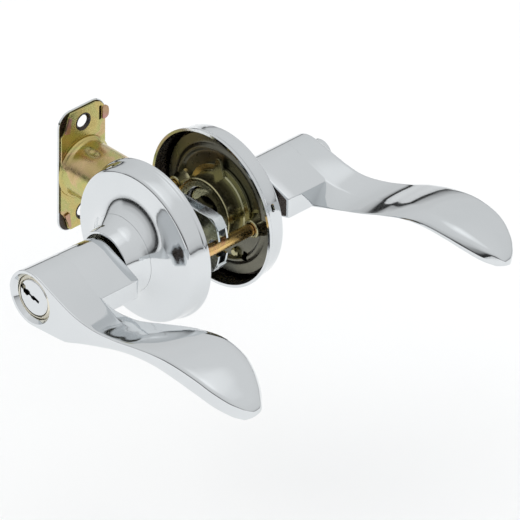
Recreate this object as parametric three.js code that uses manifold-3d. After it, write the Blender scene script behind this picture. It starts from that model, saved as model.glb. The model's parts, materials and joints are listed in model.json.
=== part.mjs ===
// Keyed tubular door lever set: two wave levers on round roses, a key cylinder in the exterior lever,
// a turn button in the interior lever and a spring latch with a deadlatch plunger between them.
// Millimetres, +Z up. The spindle lies on Y (exterior side at -Y), the latch points to -X and both
// levers to +X. The origin is where the spindle crosses the door's mid-plane.
import * as THREE from 'three';
import { mergeVertices } from 'three/addons/utils/BufferGeometryUtils.js';
import Module from 'manifold-3d';

const wasm = await Module();
wasm.setup();

// ---- driving dimensions ----
const EXT = -1;                    // sign of Y on the exterior side
const INT = 1;                     // sign of Y on the interior side
const GAP = 0.3;                   // clearance between neighbouring pieces
const ROUND = 56;                  // sides of the widest turned pieces
const FINE = 40;                   // sides of the narrower ones
const BACKSET = 60.3;              // spindle axis to the faceplate's outer face
const DOOR_HALF = 16.4;            // door mid-plane to a rose's rim
const ROSE_R = 34.9;               // rose rim radius
const ROSE_WALL = 1.2;
const RELEASE_SLOT_ANGLE = 22.3;   // the interior rose's release slot, up from the lever's side
const NECK_R = 17.0;               // rose radius where it meets the neck bushing
const NECK_V = 32.7;               // distance from the mid-plane to that neck
const PLATE_V = 21.4;              // door side of the mounting plates' floor
const POST_X = 22.5;               // through posts, left and right of the spindle
const POST_R = 2.6;
const SLEEVE_R = 9.8;              // drive sleeve that carries a lever
const SLEEVE_WALL = 1.6;
const FACE_W = 25.4;
const FACE_H = 57.15;
const FACE_CORNER = 6.35;
const FACE_T = 0.9;                // chrome faceplate and its backing plate, each
const FACE_HOLE_Z = 21.43;
const TUBE_R = 12.3;
const TUBE_WALL = 1.0;
const FRAME_HALF_Y = 2.7;          // latch frame, half of its outer width
const FRAME_HALF_Z = 12.6;
const FRAME_WALL = 1.0;
const CAM_R = 7.6;                 // latch cam hub
const CAM_TIP_R = 11.0;            // centre of the rounded tip of the cam's finger
const CAM_TIP_ROUND = 1.1;
const LEVER_TURN = 60;             // degrees a lever turns from rest
const THROW = 11.0;                // how far the bolt stands out of the faceplate, and travels
const DROOP = 4.4;                 // degrees the exterior lever hangs below level in its play
const KEYWAY_TILT = 14.6;          // degrees the cylinder is turned in the exterior lever
const PLUG_R = 6.35;
const PLUG_HEAD_R = 8.0;
const CYLINDER_R = 9.7;
const PIN_R = 1.45;
const BUTTON_R = 6.0;
const SPINDLE_HALF = 4.2;          // half the width of the square spindle

const COLORS = {
  chrome: [0xd9dcdf, 0.08, 1.0],
  zinc_yellow: [0xb59a4a, 0.35, 0.9],
  zinc_olive: [0x6b6448, 0.4, 0.85],
  zinc_silver: [0xb9c2c8, 0.3, 0.9],
  brass: [0xc8a24f, 0.3, 0.9],
  spring_steel: [0x8d9094, 0.35, 0.95],
};

const object = new THREE.Group();

// ---- helpers ----
function toSolid(geometry) {
  const bare = geometry.clone();
  bare.deleteAttribute('normal');
  bare.deleteAttribute('uv');
  const merged = mergeVertices(bare, 1e-4);
  const mesh = new wasm.Mesh({
    numProp: 3,
    vertProperties: new Float32Array(merged.attributes.position.array),
    triVerts: new Uint32Array(merged.index.array),
  });
  return new wasm.Manifold(mesh);
}

function toGeometry(solid) {
  const mesh = solid.getMesh();
  const geometry = new THREE.BufferGeometry();
  geometry.setAttribute('position', new THREE.BufferAttribute(new Float32Array(mesh.vertProperties), 3));
  geometry.setIndex(new THREE.BufferAttribute(new Uint32Array(mesh.triVerts), 1));
  return geometry;
}

function addPart(name, look, solid, parent = object) {
  const [color, roughness, metalness] = COLORS[look];
  const material = new THREE.MeshStandardMaterial({ color, roughness, metalness });
  const mesh = new THREE.Mesh(toGeometry(solid), material);
  mesh.name = name;
  parent.add(mesh);
  return mesh;
}

// A turned piece about the Y axis. profile holds [radius, v], v being the distance out from the mid-plane.
// The profile is closed on itself, or starts and ends on the axis.
function turned(profile, side, segments = FINE) {
  const onAxis = profile[0][0] === 0;
  const points = profile.map(([r, v]) => new THREE.Vector2(r, v));
  if (!onAxis) points.push(points[0].clone());
  let area = 0;
  for (let i = 0; i < points.length; i += 1) {
    const a = points[i];
    const b = points[(i + 1) % points.length];
    area += a.x * b.y - b.x * a.y;
  }
  if (area < 0) points.reverse();
  const geometry = new THREE.LatheGeometry(points, segments);
  if (side < 0) geometry.rotateX(Math.PI);
  return toSolid(geometry);
}

function ring(outer, inner, v0, v1, side, segments = FINE) {
  return turned([[inner, v0], [outer, v0], [outer, v1], [inner, v1]], side, segments);
}

// A round bar of radius r along Y, between y0 and y1, at (x, z).
function rodY(r, y0, y1, x = 0, z = 0, segments = 20) {
  const geometry = new THREE.CylinderGeometry(r, r, y1 - y0, segments);
  geometry.translate(x, (y0 + y1) / 2, z);
  return toSolid(geometry);
}

function rodX(r, x0, x1, y = 0, z = 0, segments = 20) {
  const geometry = new THREE.CylinderGeometry(r, r, x1 - x0, segments);
  geometry.rotateZ(Math.PI / 2);
  geometry.translate((x0 + x1) / 2, y, z);
  return toSolid(geometry);
}

function box(x0, x1, y0, y1, z0, z1) {
  const geometry = new THREE.BoxGeometry(x1 - x0, y1 - y0, z1 - z0);
  geometry.translate((x0 + x1) / 2, (y0 + y1) / 2, (z0 + z1) / 2);
  return toSolid(geometry);
}

// A plate of outline shape (drawn in Y and Z) between x0 and x1.
function plateX(shape, x0, x1) {
  const options = { depth: x1 - x0, bevelEnabled: false, curveSegments: 5 };
  const geometry = new THREE.ExtrudeGeometry(shape, options);
  geometry.rotateX(Math.PI / 2);
  geometry.rotateZ(Math.PI / 2);
  geometry.translate(x0, 0, 0);
  return toSolid(geometry);
}

// A plate of outline shape (drawn in X and Z) between y0 and y1.
function plateY(shape, y0, y1) {
  const options = { depth: y1 - y0, bevelEnabled: false, curveSegments: 10 };
  const geometry = new THREE.ExtrudeGeometry(shape, options);
  geometry.rotateX(Math.PI / 2);
  geometry.translate(0, y1, 0);
  return toSolid(geometry);
}

function roundedRect(width, height, corner) {
  const shape = new THREE.Shape();
  const w = width / 2;
  const h = height / 2;
  shape.moveTo(-w + corner, -h);
  shape.lineTo(w - corner, -h);
  shape.absarc(w - corner, -h + corner, corner, -Math.PI / 2, 0, false);
  shape.lineTo(w, h - corner);
  shape.absarc(w - corner, h - corner, corner, 0, Math.PI / 2, false);
  shape.lineTo(-w + corner, h);
  shape.absarc(-w + corner, h - corner, corner, Math.PI / 2, Math.PI, false);
  shape.lineTo(-w, -h + corner);
  shape.absarc(-w + corner, -h + corner, corner, Math.PI, Math.PI * 1.5, false);
  return shape;
}

// A closed skin through rings of points, with a fan at each end. All rings have the same count.
function loft(rings) {
  const count = rings[0].length;
  const positions = rings.flat().flatMap((p) => [p.x, p.y, p.z]);
  const index = [];
  for (let i = 0; i < rings.length - 1; i += 1) {
    for (let j = 0; j < count; j += 1) {
      const a = i * count + j;
      const b = i * count + ((j + 1) % count);
      index.push(a, b, a + count, b, b + count, a + count);
    }
  }
  [0, rings.length - 1].forEach((at, end) => {
    const middle = new THREE.Vector3();
    rings[at].forEach((p) => middle.add(p));
    middle.divideScalar(count);
    const centre = positions.length / 3;
    positions.push(middle.x, middle.y, middle.z);
    for (let j = 0; j < count; j += 1) {
      const a = at * count + j;
      const b = at * count + ((j + 1) % count);
      if (end === 0) index.push(b, a, centre);
      else index.push(a, b, centre);
    }
  });
  const geometry = new THREE.BufferGeometry();
  geometry.setAttribute('position', new THREE.Float32BufferAttribute(positions, 3));
  geometry.setIndex(index);
  const solid = toSolid(geometry);
  if (solid.volume() > 0) return solid;
  const flipped = [];
  for (let i = 0; i < index.length; i += 3) flipped.push(index[i], index[i + 2], index[i + 1]);
  geometry.setIndex(flipped);
  return toSolid(geometry);
}

// A round-wire coil about the given axis line, with flat-cut ends.
function coil(radius, wire, start, end, turns, sides = 3) {
  const axis = new THREE.Vector3().subVectors(end, start);
  const u = new THREE.Vector3(0, 0, 1).cross(axis).normalize();
  const w = new THREE.Vector3().crossVectors(axis, u).normalize();
  const steps = Math.round(turns * 11);
  const points = [];
  for (let i = 0; i <= steps; i += 1) {
    const t = i / steps;
    const angle = t * turns * Math.PI * 2;
    const p = start.clone().addScaledVector(axis, t);
    p.addScaledVector(u, radius * Math.cos(angle)).addScaledVector(w, radius * Math.sin(angle));
    points.push(p);
  }
  const section = new THREE.Shape();
  section.absarc(0, 0, wire / 2, 0, Math.PI * 2, false);
  const path = new THREE.CatmullRomCurve3(points);
  const geometry = new THREE.ExtrudeGeometry(section, { steps, extrudePath: path, curveSegments: sides });
  return toSolid(geometry);
}

// ---- roses, bushings, mounting plates and return springs, one set on each side ----
function roseShell(side) {
  const outer = [
    [ROSE_R, DOOR_HALF], [ROSE_R, DOOR_HALF + 1.2], [34.3, 18.2], [33.6, 24.4], [33.0, 25.4], [31.6, 26.1],
    [28.0, 26.7], [24.0, 27.7], [20.6, 29.3], [18.4, 31.0], [NECK_R, NECK_V],
  ];
  const inner = [
    [NECK_R - ROSE_WALL, NECK_V - 0.2], [19.8, 28.2], [23.6, 26.5], [31.2, 24.9], [32.2, 24.2],
    [ROSE_R - ROSE_WALL, DOOR_HALF],
  ];
  return turned([...outer, ...inner], side, ROUND);
}

function neckBushing(side) {
  const end = side === EXT ? 42.6 : 38.8;
  const inside = NECK_R - ROSE_WALL - GAP;
  const profile = [
    [inside, 29.4], [inside, NECK_V + GAP], [16.7, NECK_V + GAP + 0.3],
    [15.0, 35.2], [14.1, 37.0], [13.4, end - 0.4], [13.1, end], [12.3, end], [12.3, 29.4],
  ];
  return turned(profile, side, FINE);
}

// Stepped dish: outer ring against the rose, raised bead, deep floor with a raised eyelet at each post.
function mountingPlate(side) {
  const t = 1.2;
  const v = PLATE_V;
  const profile = [
    [10.4, v + 1.6], [23.2, v + 1.6], [24.2, v], [25.6, v], [26.4, v + 1.0], [31.0, v + 1.0],
    [31.0, v + 1.0 + t], [25.8, v + 1.0 + t], [24.9, v + t], [24.0, v + 1.6 + t], [12.0, v + 1.6 + t],
    [12.0, 36.0], [10.4, 36.0],
  ];
  let plate = turned(profile, side, ROUND);
  for (const x of [-POST_X, POST_X]) {
    const ends = [side * (v - 4.0), side * (v + 1.8)];
    const eyelet = rodY(4.4, Math.min(...ends), Math.max(...ends), x);
    plate = plate.add(eyelet).subtract(rodY(POST_R + GAP, -60, 60, x));
  }
  return plate;
}

function springCage(side) {
  const profile = [
    [11.0, PLATE_V - 8.8], [14.6, PLATE_V - 8.8], [14.6, PLATE_V + 0.1], [17.6, PLATE_V + 0.1],
    [17.6, PLATE_V + 1.3], [13.4, PLATE_V + 1.3], [13.4, PLATE_V - 7.6], [11.0, PLATE_V - 7.6],
  ];
  const tab = new THREE.Shape([
    new THREE.Vector2(-3.4, 13.9), new THREE.Vector2(3.4, 13.9), new THREE.Vector2(1.0, 21.8),
    new THREE.Vector2(-1.0, 21.8),
  ]);
  const v0 = PLATE_V - 1.2;
  const ends = [side * v0, side * (v0 + 1.2)];
  return turned(profile, side, FINE).add(plateY(tab, Math.min(...ends), Math.max(...ends)));
}

function returnSpring(side) {
  const radius = 11.5;
  const start = new THREE.Vector3(0, side * (PLATE_V - 6.6), 0);
  const end = new THREE.Vector3(0, side * (PLATE_V - 0.6), 0);
  return coil(radius, 1.3, start, end, 3.4);
}

function buildSide(side, word) {
  let rose = roseShell(side);
  if (side === INT) {
    const slot = box(27, 40, 20.2, 22.2, -1.7, 1.7);
    rose = rose.subtract(slot.rotate([0, -RELEASE_SLOT_ANGLE, 0]));
  }
  addPart(`${word}_rose`, 'chrome', rose);
  addPart(`${word}_neck_bushing`, 'chrome', neckBushing(side));
  addPart(`${word}_mounting_plate`, 'zinc_olive', mountingPlate(side));
  addPart(`${word}_spring_cage`, 'zinc_olive', springCage(side));
  addPart(`${word}_return_spring`, 'spring_steel', returnSpring(side));
}

buildSide(EXT, 'exterior');
buildSide(INT, 'interior');

// ---- through posts and screws ----
function throughFixings() {
  for (const [x, word] of [[-POST_X, 'latch_side'], [POST_X, 'lever_side']]) {
    const head = rodY(4.2, -(PLATE_V + 3.8), -(PLATE_V + 3.1), x);
    const shank = rodY(POST_R, -(PLATE_V + 3.4), PLATE_V + 0.4, x);
    const bore = rodY(1.75, 0, PLATE_V + 5, x);
    addPart(`threaded_post_${word}`, 'zinc_yellow', head.add(shank).subtract(bore));
    const screwHead = rodY(3.6, PLATE_V + 3.1, PLATE_V + 4.1, x);
    const cross = box(x - 2.2, x + 2.2, PLATE_V + 3.6, PLATE_V + 6, -0.4, 0.4)
      .add(box(x - 0.4, x + 0.4, PLATE_V + 3.6, PLATE_V + 6, -2.2, 2.2));
    const thread = rodY(1.45, 2, PLATE_V + 3.2, x);
    addPart(`through_screw_${word}`, 'zinc_yellow', screwHead.add(thread).subtract(cross));
  }
}

throughFixings();

// ---- latch ----
const FACE_X = -BACKSET;
const BACKING_X = FACE_X + FACE_T + GAP / 3;
const TUBE_X0 = BACKING_X + FACE_T + GAP / 3;
const TUBE_X1 = -27.0;
const BOLT_HALF_Y = 6.0;
const BOLT_HALF_Z = 8.0;
const PLUNGER_Y0 = 3.1;            // the plunger's inner side; the bolt is cut back for it

function screwHoles(x0, x1, r, headR) {
  const holes = [];
  for (const z of [-FACE_HOLE_Z, FACE_HOLE_Z]) {
    holes.push(rodX(r, x0 - 1, x1 + 1, 0, z));
    if (headR > r) {
      const sink = new THREE.CylinderGeometry(r, headR, headR - r, 20);
      sink.rotateZ(Math.PI / 2);
      sink.translate(x0 + (headR - r) / 2 - 0.01, 0, z);
      holes.push(toSolid(sink));
    }
  }
  return holes;
}

function faceplate() {
  let plate = plateX(roundedRect(FACE_W, FACE_H, FACE_CORNER), FACE_X, FACE_X + FACE_T);
  const opening = roundedRect(2 * BOLT_HALF_Y + 0.8, 2 * BOLT_HALF_Z + 0.8, 1.0);
  plate = plate.subtract(plateX(opening, FACE_X - 1, FACE_X + FACE_T + 1));
  for (const hole of screwHoles(FACE_X, FACE_X + FACE_T, 2.7, 3.5)) plate = plate.subtract(hole);
  return plate;
}

const CLIP_Y = 8.2;                // clips that hold the faceplate to its backing
const CLIP_Z = 24.6;
const CLIP_HALF = 1.4;
function backingPlate() {
  const w = FACE_W / 2 - 0.7;
  const h = FACE_H / 2 - 0.9;
  const cut = 5.2;
  const outline = new THREE.Shape([
    new THREE.Vector2(-w + cut, -h), new THREE.Vector2(w - cut, -h), new THREE.Vector2(w, -h + cut),
    new THREE.Vector2(w, h - cut), new THREE.Vector2(w - cut, h), new THREE.Vector2(-w + cut, h),
    new THREE.Vector2(-w, h - cut), new THREE.Vector2(-w, -h + cut),
  ]);
  let plate = plateX(outline, BACKING_X, BACKING_X + FACE_T);
  const h0 = -CLIP_HALF;
  const clip = box(BACKING_X + 0.1, BACKING_X + FACE_T + 1.2, h0, CLIP_HALF, h0, CLIP_HALF);
  for (const y of [-1, 1]) {
    for (const z of [-1, 1]) {
      plate = plate.add(clip.translate([0, y * CLIP_Y, z * CLIP_Z]));
    }
  }
  plate = plate.subtract(rodX(TUBE_R - TUBE_WALL - 0.4, BACKING_X - 1, BACKING_X + 3));
  for (const hole of screwHoles(BACKING_X, BACKING_X + FACE_T, 3.2, 3.2)) plate = plate.subtract(hole);
  return plate;
}

function latchTube() {
  const flare = 1.1;
  const outer = [
    [0, TUBE_X0], [TUBE_R + flare, TUBE_X0], [TUBE_R + flare, TUBE_X0 + 0.8], [TUBE_R, TUBE_X0 + 2.2],
    [TUBE_R, TUBE_X1], [0, TUBE_X1],
  ];
  const shell = new THREE.LatheGeometry(outer.map(([r, x]) => new THREE.Vector2(r, x)), FINE);
  shell.rotateZ(-Math.PI / 2);
  const bore = rodX(TUBE_R - TUBE_WALL, TUBE_X0 - 1, TUBE_X1 + 1, 0, 0, FINE);
  return toSolid(shell).subtract(bore);
}

const FRAME_END_R = 25.2;          // rounded end of the frame, past the lever-side post
const POST_CLEAR = POST_R + 0.9;
function latchFrame() {
  const inner = FRAME_HALF_Y - FRAME_WALL;
  const outline = new THREE.Shape();
  const corner = Math.asin(FRAME_HALF_Z / FRAME_END_R);
  outline.moveTo(TUBE_X1 + GAP, -FRAME_HALF_Z);
  outline.lineTo(FRAME_END_R * Math.cos(corner), -FRAME_HALF_Z);
  outline.absarc(0, 0, FRAME_END_R, -corner, corner, false);
  outline.lineTo(TUBE_X1 + GAP, FRAME_HALF_Z);
  let frame = plateY(outline, -FRAME_HALF_Y, FRAME_HALF_Y);
  frame = frame.add(box(-36, TUBE_X1 + 1, -FRAME_HALF_Y, FRAME_HALF_Y, -8.6, 8.6));
  const hollow = FRAME_HALF_Z - FRAME_WALL;
  frame = frame.subtract(box(-40, 30, -inner, inner, -hollow, hollow));
  frame = frame.subtract(box(-17, 11.5, -inner, inner, hollow - 1, FRAME_HALF_Z + 1));
  frame = frame.subtract(box(-17, 11.5, -inner, inner, -FRAME_HALF_Z - 1, -hollow + 1));
  frame = frame.subtract(rodY(CAM_R + GAP, -5, 5, 0, 0, 40));
  frame = frame.subtract(rodY(POST_R + 0.7, -5, 5, -POST_X));
  frame = frame.subtract(rodY(POST_CLEAR, -5, 5, POST_X));
  return frame.subtract(box(POST_X, 30, -5, 5, -POST_CLEAR, POST_CLEAR));
}

// The stop is a half-moon plate in the tube that the latch spring pushes against.
const STOP_X = -36.9;
function springStop() {
  const shape = new THREE.Shape();
  shape.absarc(0, 0, TUBE_R - TUBE_WALL - GAP, Math.PI * 1.1, Math.PI * 1.9, false);
  return plateX(shape, STOP_X, STOP_X + 0.6);
}

const BOLT_X1 = -49.0;
const BOLT_FOOT_X = -51.0;         // front of the foot that the plunger's spring rests on
const SPRING_Z = -5.4;
function latchBolt() {
  const tip = FACE_X - THROW;
  const shape = new THREE.Shape([
    new THREE.Vector2(BOLT_X1, -BOLT_HALF_Y), new THREE.Vector2(BOLT_X1, PLUNGER_Y0 - GAP),
    new THREE.Vector2(tip, PLUNGER_Y0 - GAP), new THREE.Vector2(tip, PLUNGER_Y0 - 2.2),
    new THREE.Vector2(FACE_X - 0.6, -BOLT_HALF_Y),
  ]);
  const geometry = new THREE.ExtrudeGeometry(shape, { depth: 2 * BOLT_HALF_Z, bevelEnabled: false });
  geometry.translate(0, 0, -BOLT_HALF_Z);
  let bolt = toSolid(geometry);
  bolt = bolt.add(box(BOLT_FOOT_X, BOLT_X1, PLUNGER_Y0 - 1, BOLT_HALF_Y, -BOLT_HALF_Z, BOLT_HALF_Z));
  return bolt.subtract(rodX(2.4, BOLT_X1 - 4.5, BOLT_X1 + 1, 0, SPRING_Z));
}

function latchRod() {
  const flange = rodX(2.2, BOLT_X1 + GAP, BOLT_X1 + 1.4);
  const head = rodX(1.6, -38.3, -37.5);
  return rodX(1.1, BOLT_X1 + GAP, -37.5).add(flange).add(head);
}

function latchRetractor() {
  const tabX = -CAM_TIP_R * Math.sin(THREE.MathUtils.degToRad(LEVER_TURN / 2)) + CAM_TIP_ROUND + GAP;
  const bar = box(-42.0, tabX + 1.6, 0.25, 1.45, 8.9, 10.6);
  const block = box(-42.0, -38.6, -1.45, 1.45, -2.2, 10.6);
  const tab = box(tabX, tabX + 1.6, -1.45, 1.45, 9.6, 10.6);
  return bar.add(block).add(tab).subtract(rodX(1.35, -43, -37, 0, 0));
}

function latchSpring() {
  const start = new THREE.Vector3(BOLT_X1 - 4.2, 0, SPRING_Z);
  const end = new THREE.Vector3(STOP_X - 0.7, 0, SPRING_Z);
  return coil(1.7, 0.5, start, end, 7);
}

const PLUNGER_X1 = -58.4;
function deadlatchPlunger() {
  const shape = new THREE.Shape([
    new THREE.Vector2(PLUNGER_X1, PLUNGER_Y0), new THREE.Vector2(PLUNGER_X1, BOLT_HALF_Y),
    new THREE.Vector2(FACE_X - THROW + 1.6, BOLT_HALF_Y),
    new THREE.Vector2(FACE_X - THROW + 0.4, PLUNGER_Y0 + 1.4),
    new THREE.Vector2(FACE_X - THROW + 0.4, PLUNGER_Y0),
  ]);
  const geometry = new THREE.ExtrudeGeometry(shape, { depth: 9.0, bevelEnabled: false });
  geometry.translate(0, 0, -4.5);
  return toSolid(geometry);
}

function plungerSpring() {
  const start = new THREE.Vector3(PLUNGER_X1 + 0.5, 4.5, 0);
  const end = new THREE.Vector3(BOLT_FOOT_X - 0.5, 4.5, 0);
  return coil(0.9, 0.3, start, end, 3);
}

addPart('latch_faceplate', 'chrome', faceplate());
addPart('faceplate_backing_plate', 'zinc_yellow', backingPlate());
addPart('latch_tube', 'zinc_yellow', latchTube());
addPart('latch_frame', 'zinc_silver', latchFrame());
addPart('latch_spring_stop', 'zinc_silver', springStop());
addPart('latch_bolt', 'chrome', latchBolt());
addPart('latch_rod', 'zinc_silver', latchRod());
addPart('latch_retractor', 'zinc_silver', latchRetractor());
addPart('latch_spring', 'spring_steel', latchSpring());
addPart('deadlatch_plunger', 'chrome', deadlatchPlunger());
addPart('plunger_spring', 'spring_steel', plungerSpring());

// ---- levers ----
// Blade edges as [x, v, z], outer and inner, upper and lower, for the exterior lever before it droops.
const UPPER_OUTER = [
  [12, 83.2, 9.6], [20, 83.2, 7], [28, 83, 5.45], [38, 83.2, 5.8], [50, 84, 8.6],
  [62, 85.1, 12.9], [74, 85.8, 16.5], [86, 86.2, 18.4], [98, 85.6, 17.9], [106, 84.2, 15.8],
  [113, 81, 12.7], [117, 77.6, 10.6],
];
const UPPER_INNER = [
  [12, 65.2, 6.6], [20, 64.6, 4.1], [28, 66, 2.9], [38, 68.4, 2.9], [50, 68, 6.9],
  [62, 65, 12.5], [74, 61.3, 17.7], [86, 60, 20.9], [98, 60.4, 20.4], [106, 62.2, 18],
  [113, 65.2, 14.6], [117, 67.8, 12.2],
];
const LOWER_INNER = [
  [12, 57, -8], [20, 56.9, -5.6], [28, 57.6, -3.4], [38, 58, -0.2], [50, 56.6, 4.8],
  [62, 55.3, 10], [74, 54.9, 14.2], [86, 55.2, 16], [98, 56.5, 15], [106, 59, 12.4],
  [113, 62.8, 9.4], [117, 66.4, 7.8],
];
const LOWER_OUTER = [
  [12, 82.6, -11.4], [20, 82.6, -9.9], [28, 82.2, -7], [38, 82.4, -2.7], [50, 83, 2.6],
  [62, 84, 6.8], [74, 84.8, 9.3], [86, 85.2, 9.9], [98, 84.4, 8.8], [106, 82.6, 6.8],
  [113, 79.2, 4.8], [117, 76.2, 4.5],
];
const BLADE_STEPS = 26;
const TIP = [120.0, 71.2, 7.9];

// The interior lever is the mirror image, nearer the door by SHIFT and cut shorter at its outer end.
const SHIFT = 4.0;
const SHORTER = 5.6;
const EXT_FACE = 83.2;
const INT_FACE = 73.6;

function edgeCurve(points) {
  const vectors = points.map(([x, v, z]) => new THREE.Vector3(x, v, z));
  return new THREE.CatmullRomCurve3(vectors, false, 'catmullrom', 0.5);
}

function bladeRings(side) {
  const curves = [UPPER_OUTER, UPPER_INNER, LOWER_INNER, LOWER_OUTER].map(edgeCurve);
  const place = (p) => {
    if (side === EXT) return new THREE.Vector3(p.x, -p.y, p.z);
    const along = THREE.MathUtils.clamp((62 - p.x) / 42, 0, 1);
    const outward = THREE.MathUtils.clamp((p.y - 66) / 16, 0, 1);
    return new THREE.Vector3(p.x, p.y - SHIFT - SHORTER * along * outward, p.z);
  };
  const rings = [];
  for (let i = 0; i <= BLADE_STEPS; i += 1) {
    const [uo, ui, li, lo] = curves.map((c) => c.getPoint(i / BLADE_STEPS));
    const mix = (a, b, t) => a.clone().lerp(b, t);
    const wall = mix(ui, li, 0.5);
    const depth = Math.min(4.6, Math.max(2.6, (ui.z - li.z) * 0.5 + 2.4));
    const under = li.clone().add(new THREE.Vector3(0, 2.6, -depth * 0.7));
    under.z = Math.max(under.z, lo.z - 1.0 + (li.z - lo.z) * 0.4);
    const section = [
      mix(uo, ui, 0.02), mix(uo, ui, 0.5), mix(uo, ui, 0.96), wall, mix(li, wall, 0.12), under,
      mix(under, lo, 0.5), mix(lo, under, 0.06), mix(lo, uo, 0.12), mix(uo, lo, 0.1),
    ];
    rings.push(section.map(place));
  }
  const last = rings[rings.length - 1];
  const tip = place(new THREE.Vector3(...TIP));
  for (const size of [0.72, 0.36]) {
    rings.push(last.map((p) => {
      const q = tip.clone().lerp(p, size);
      q.x = tip.x + (p.x - tip.x) * size * size;
      return q;
    }));
  }
  return rings;
}

// Teardrop section of the hub at distance v: a round back, flat top and bottom, and a blunt end at cornerX.
function hubRing(side, v, r, cornerX, topZ, lowZ) {
  const far = Math.hypot(cornerX, topZ);
  const top = Math.atan2(topZ, cornerX) + Math.acos(r / far);
  const low = Math.atan2(lowZ, cornerX) - Math.acos(r / Math.hypot(cornerX, lowZ));
  const points = [new THREE.Vector3(cornerX, side * v, lowZ), new THREE.Vector3(cornerX, side * v, topZ)];
  const steps = 28;
  for (let i = 0; i <= steps; i += 1) {
    const a = top + (i / steps) * (2 * Math.PI + low - top);
    points.push(new THREE.Vector3(r * Math.cos(a), side * v, r * Math.sin(a)));
  }
  return points;
}

// The exterior hub widens outward round the key cylinder; the interior one keeps one radius.
const HUB_R = { [EXT]: [11.2, 11.5, 11.9, 12.1, 12.5], [INT]: [10.5, 10.7, 10.8, 10.8, 10.8] };

function hubSolid(side) {
  const shift = side === EXT ? 0 : -SHIFT;
  const face = side === EXT ? EXT_FACE : INT_FACE;
  const edge = side === EXT ? 0.5 : 3.4;
  const r = HUB_R[side];
  return loft([
    hubRing(side, 43.6 + shift, r[0], 21.0, 3.6, -5.0),
    hubRing(side, 44.2 + shift, r[1], 21.4, 3.9, -5.4),
    hubRing(side, 56.0 + shift, r[2], 21.4, 4.0, -5.6),
    hubRing(side, 64.0 + shift, r[3], 16.0, 5.8, -8.2),
    hubRing(side, face - edge, r[4], 16.0, 8.0, -10.6),
    hubRing(side, face - edge * 0.3, r[4] - edge * 0.3, 15.6, 7.7 - edge * 0.1, -10.4 + edge * 0.3),
    hubRing(side, face, r[4] - edge, 15.0 - edge * 0.4, 7.4 - edge * 0.3, -10.0 + edge),
  ]);
}

const CYLINDER_REAR = 55.0;
const BIBLE_REACH = 13.6;          // the pin chamber block stands out this far from the cylinder's axis
const BIBLE_HALF = 4.0;

function exteriorLeverSolid() {
  let lever = hubSolid(EXT).add(loft(bladeRings(EXT)));
  lever = lever.subtract(rodY(SLEEVE_R + 0.15, -64, -30, 0, 0, FINE));
  lever = lever.subtract(rodY(CYLINDER_R + 0.15, -EXT_FACE + 2.2, -60, 0, 0, FINE));
  const sink = turned([
    [0, EXT_FACE - 2.4], [CYLINDER_R - 0.3, EXT_FACE - 2.4], [11.2, EXT_FACE + 0.1], [0, EXT_FACE + 0.1],
  ], EXT, FINE);
  const half = BIBLE_HALF + 0.2;
  const chamber = box(0, BIBLE_REACH + 0.3, -EXT_FACE + 6.2, -60, -half, half);
  return lever.subtract(sink).subtract(chamber.rotate([0, KEYWAY_TILT, 0]));
}

function interiorLeverSolid() {
  let lever = hubSolid(INT).add(loft(bladeRings(INT)));
  lever = lever.subtract(rodY(SLEEVE_R + 0.15, 30, 66, 0, 0, FINE));
  return lever.subtract(rodY(BUTTON_R + 0.4, 60, 90, 0, 0, FINE));
}

// Drive sleeve: carries the lever and passes through the bushing, cage and mounting plate.
function driveSleeve(side) {
  const far = side === EXT ? 58.0 : 54.0;
  const near = 14.6;
  const sleeve = ring(SLEEVE_R, SLEEVE_R - SLEEVE_WALL, near, far, side, FINE);
  const web = turned([[0, near], [9.0, near], [9.0, near + 1.6], [0, near + 1.6]], side, FINE);
  const square = SPINDLE_HALF + 0.4;
  return sleeve.add(web).subtract(box(-square, square, -60, 60, -square, square));
}

// ---- exterior lever, key cylinder and its plug ----
const exterior = new THREE.Group();
exterior.rotation.y = THREE.MathUtils.degToRad(DROOP);
object.add(exterior);

const PIN_V = [75.5, 71.6, 67.7, 63.8];
const KEY_PIN_LENGTH = [3.4, 2.6, 3.0, 2.2];
const SHEAR = PLUG_R + 0.06;

function cylinderBody() {
  const shell = turned([
    [PLUG_R + 0.12, CYLINDER_REAR], [CYLINDER_R - 0.6, CYLINDER_REAR], [CYLINDER_R, CYLINDER_REAR + 0.8],
    [CYLINDER_R, EXT_FACE - 2.6], [CYLINDER_R - 0.5, EXT_FACE - 2.5], [PLUG_HEAD_R + 0.3, EXT_FACE - 1.5],
    [PLUG_HEAD_R + 0.3, EXT_FACE - 4.2], [PLUG_R + 0.12, EXT_FACE - 4.2],
  ], EXT, FINE);
  let body = shell.intersect(rodY(SLEEVE_R - SLEEVE_WALL - 0.2, -60.2, -50, 0, 0, FINE))
    .add(shell.intersect(rodY(20, -90, -60.2, 0, 0, FINE)));
  body = body.add(box(PLUG_R + 0.6, BIBLE_REACH - 0.8, -EXT_FACE + 6.5, -60.3, -BIBLE_HALF, BIBLE_HALF));
  for (const v of PIN_V) body = body.subtract(pinBore(v, PLUG_R - 1, BIBLE_REACH + 1));
  return body.subtract(rodY(PLUG_R + 0.12, -EXT_FACE + 4, -50, 0, 0, FINE));
}

function pinBore(v, r0, r1) {
  return rodX(PIN_R + 0.12, r0, r1, -v, 0, 20);
}

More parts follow.
